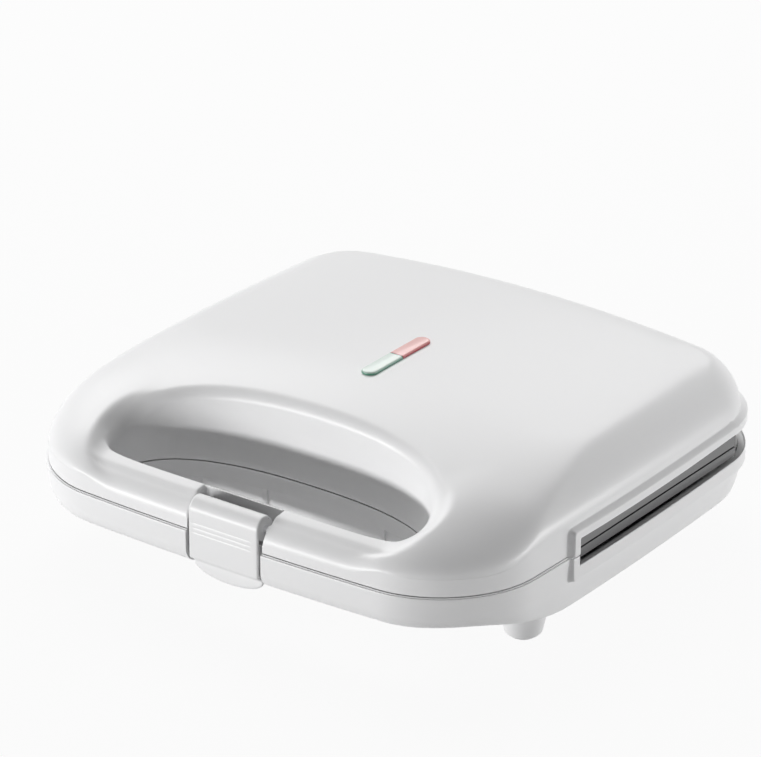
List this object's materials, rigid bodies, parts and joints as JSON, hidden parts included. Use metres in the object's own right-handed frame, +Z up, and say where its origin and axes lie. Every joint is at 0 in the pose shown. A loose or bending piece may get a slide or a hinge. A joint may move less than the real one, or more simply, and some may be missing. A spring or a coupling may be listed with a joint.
{
  "type": "sandwich toaster",
  "caption": "Countertop sandwich toaster with a hinged lid, non-stick plates with cut-and-seal pockets, a clip latch and a pilot window.",
  "frame": {"origin": "on the table under the middle of the body, midway between its front and rear", "axes": "+Z up, -Y towards the handle and the user, +X to the user's right"},
  "size_m": [0.2346, 0.2247, 0.0758],
  "materials": {
    "white_shell": "glossy white moulding",
    "white_latch": "glossy white moulding",
    "white_feet": "satin white moulding",
    "cover_plastic": "satin pale moulding",
    "inner_panel": "satin heat-proof moulding",
    "nonstick": "black non-stick coating on die-cast aluminium",
    "screw_steel": "zinc-plated",
    "heater_sheath": "heat-darkened sheath",
    "reflector_sheet": "bright rolled sheet",
    "fuse_body": "tinned can",
    "terminal_plastic": "satin",
    "inlet_rubber": "matt pale grey",
    "hinge_steel": "plain pressed steel",
    "pin_steel": "ground pin",
    "sleeve_silicone": "glass-fibre sleeve, silicone coated",
    "thermostat_ceramic": "unglazed",
    "lamp_glass": "clear glass",
    "lens_green": "translucent tinted lens",
    "lens_red": "translucent tinted lens",
    "pad_rubber": "matt grey"
  },
  "bodies": {
    "base": {"base_shell": "white_shell", "bottom_cover": "cover_plastic", "base_front_panel": "inner_panel", "base_rear_panel": "inner_panel", "lower_plate": "nonstick", "lower_plate_screws": "screw_steel", "lower_heater": "heater_sheath", "lower_reflector": "reflector_sheet", "thermal_fuse": "fuse_body", "terminal_block": "terminal_plastic", "cover_screws": "screw_steel", "feet": "white_feet", "foot_pads": "pad_rubber", "cord_inlet": "inlet_rubber", "base_hinges": "hinge_steel", "base_hinge_screws": "screw_steel", "hinge_pins": "pin_steel", "lower_wire_sleeve": "sleeve_silicone"},
    "lid": {"lid_shell": "white_shell", "lid_front_panel": "inner_panel", "lid_rear_panel": "inner_panel", "upper_plate": "nonstick", "upper_plate_screws": "screw_steel", "upper_heater": "heater_sheath", "upper_reflector": "reflector_sheet", "thermostat": "thermostat_ceramic", "lamp_holder": "terminal_plastic", "neon_lamps": "lamp_glass", "lens_green": "lens_green", "lens_red": "lens_red", "lid_hinges": "hinge_steel", "lid_hinge_screws": "screw_steel", "upper_wire_sleeve": "sleeve_silicone", "latch_pin": "pin_steel"},
    "latch": {"latch": "white_latch"}
  },
  "joints": [
    {"name": "lid_hinge", "type": "hinge", "parent": "base", "child": "lid", "pos_m": [0, 0.11, 0.0392], "axis": [-1, 0, 0], "range_deg": [0, 100]},
    {"name": "latch_pivot", "type": "hinge", "parent": "lid", "child": "latch", "pos_m": [0, -0.1054, 0.0464], "axis": [-1, 0, 0], "range_deg": [0, 60]}
  ]
}
